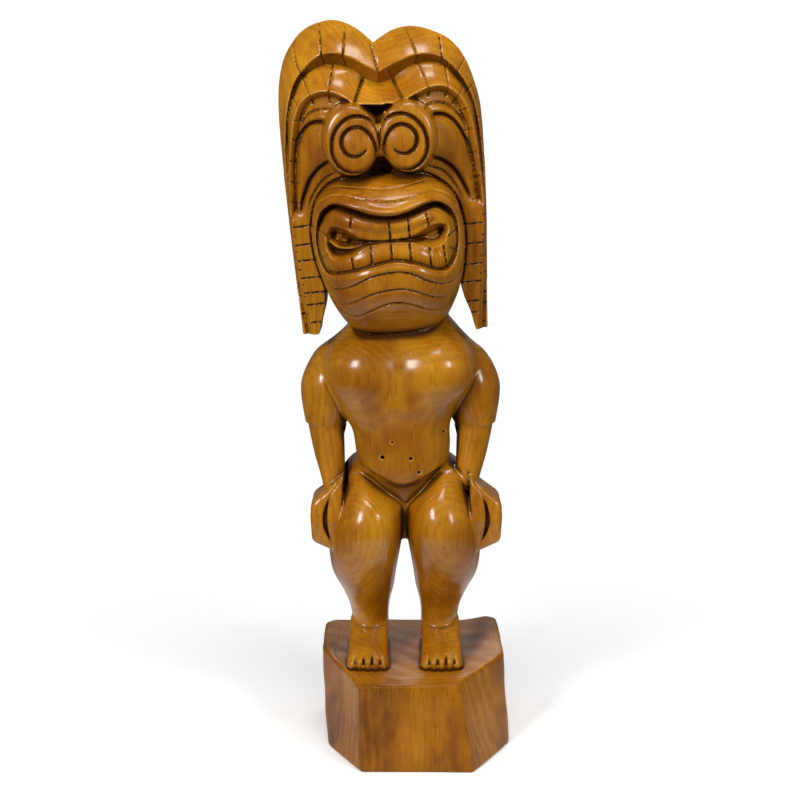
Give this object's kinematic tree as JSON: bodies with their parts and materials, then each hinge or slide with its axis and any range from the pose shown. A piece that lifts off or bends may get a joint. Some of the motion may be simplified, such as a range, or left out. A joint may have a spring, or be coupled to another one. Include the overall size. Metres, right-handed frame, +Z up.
{
  "type": "tiki figure",
  "caption": "Standing carved hardwood tiki figure with crested head, bared teeth, side flaps and fists at the hips, carved in one with its log base; free-standing on its flat underside.",
  "frame": {"origin": "on the underside of the base, midway between the feet", "axes": "+Z up, along the figure's height; -Y is the figure's front; +X is the figure's own left"},
  "size_m": [0.3012, 0.2735, 0.9989],
  "materials": {
    "figure_wood": "honey-stained hardwood under gloss varnish, dark stain left in the carved grooves",
    "base_wood": "the same stained and varnished log, less smoothed, with brown streaks and worn edges",
    "tooth_wood": "the same stained hardwood, cut across for the teeth, dark stain between them"
  },
  "bodies": {
    "root": {"base_block": "base_wood", "brow": "figure_wood", "head_block": "figure_wood", "inner_crest": "figure_wood", "left_cheek": "figure_wood", "left_eye": "figure_wood", "left_flap": "figure_wood", "left_foot": "figure_wood", "left_forearm": "figure_wood", "left_hand": "figure_wood", "left_leg": "figure_wood", "left_nostril": "figure_wood", "left_upper_arm": "figure_wood", "lower_teeth": "tooth_wood", "muzzle": "figure_wood", "outer_crest": "figure_wood", "pelvis": "figure_wood", "right_cheek": "figure_wood", "right_eye": "figure_wood", "right_flap": "figure_wood", "right_foot": "figure_wood", "right_forearm": "figure_wood", "right_hand": "figure_wood", "right_leg": "figure_wood", "right_nostril": "figure_wood", "right_upper_arm": "figure_wood", "torso": "figure_wood", "upper_teeth": "tooth_wood"}
  },
  "joints": []
}
